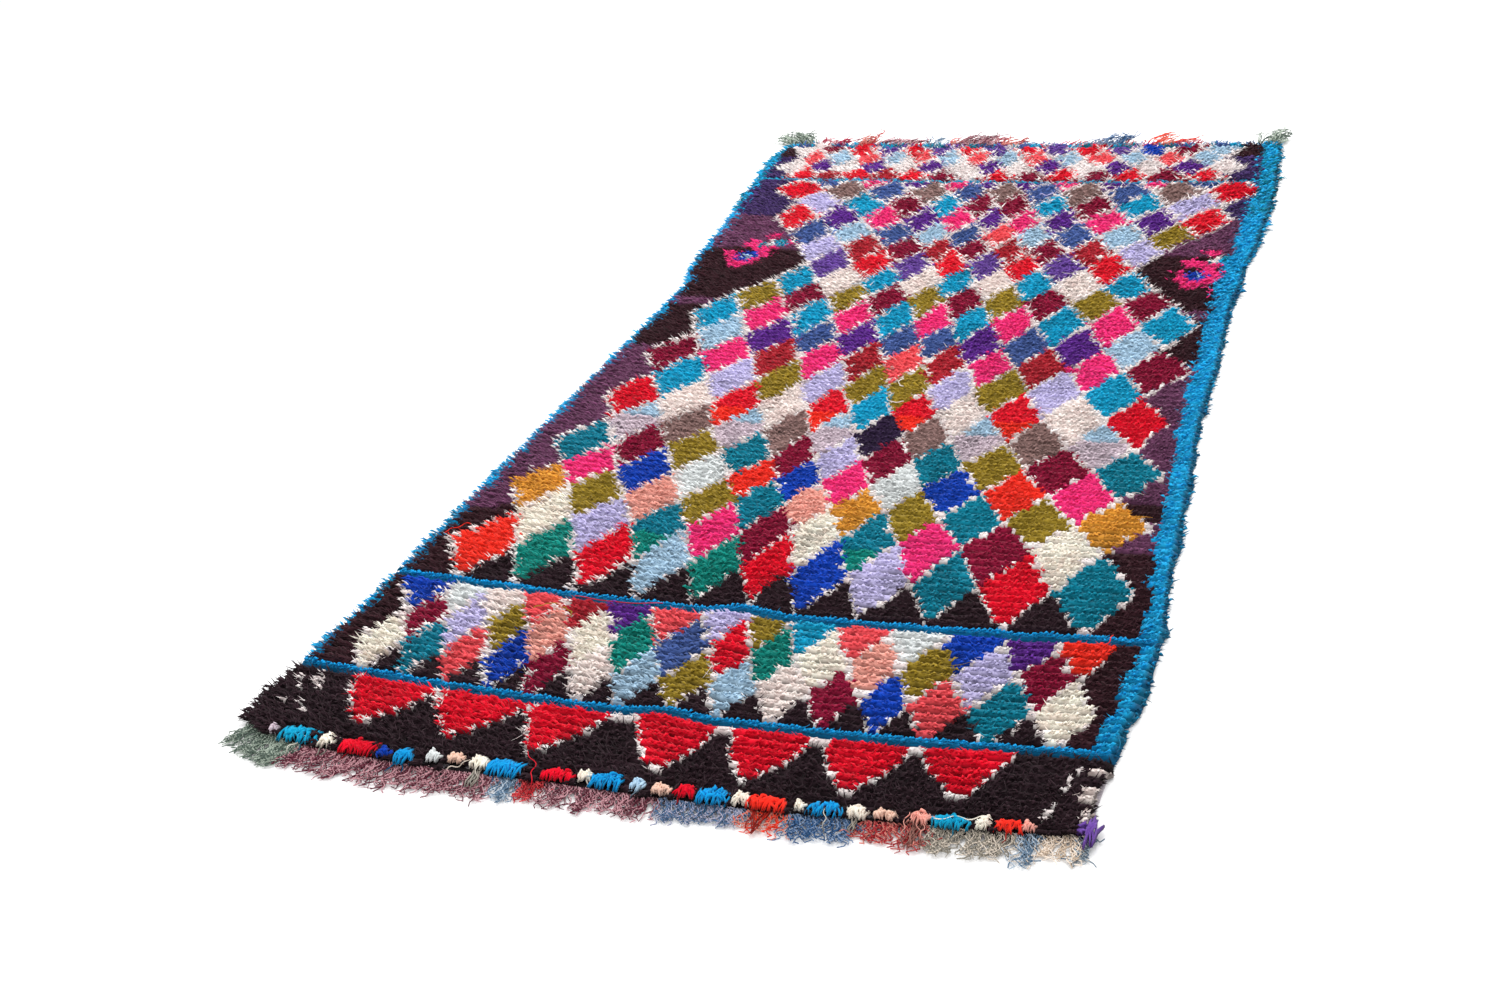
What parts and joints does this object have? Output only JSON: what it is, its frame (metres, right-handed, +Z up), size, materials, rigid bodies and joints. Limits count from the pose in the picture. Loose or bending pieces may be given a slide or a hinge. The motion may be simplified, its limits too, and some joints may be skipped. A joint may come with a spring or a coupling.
{
  "type": "boucherouite rug",
  "caption": "Long hand-knotted shag rug with a lozenge lattice, blue cross stripes and edges, and a short warp fringe at each end.",
  "frame": {"origin": "Middle of the plan of the whole rug, fringes included, on the floor it lies on.", "axes": "+X runs across the rug to its right long edge, +Y along the rug from its near end to its far end, +Z up through the pile."},
  "size_m": [1.3764, 2.8814, 0.028],
  "materials": {
    "knotted_wool_pile": "hand-knotted wool and recycled yarn pile in many colours, matt",
    "near_warp_yarn": "twisted warp and weft yarn ends in heather colours, matt",
    "far_warp_yarn": "twisted warp and weft yarn ends in heather colours, matt"
  },
  "bodies": {
    "root": {"rug_body": "knotted_wool_pile", "fringe_near": "near_warp_yarn", "fringe_far": "far_warp_yarn"}
  },
  "joints": []
}
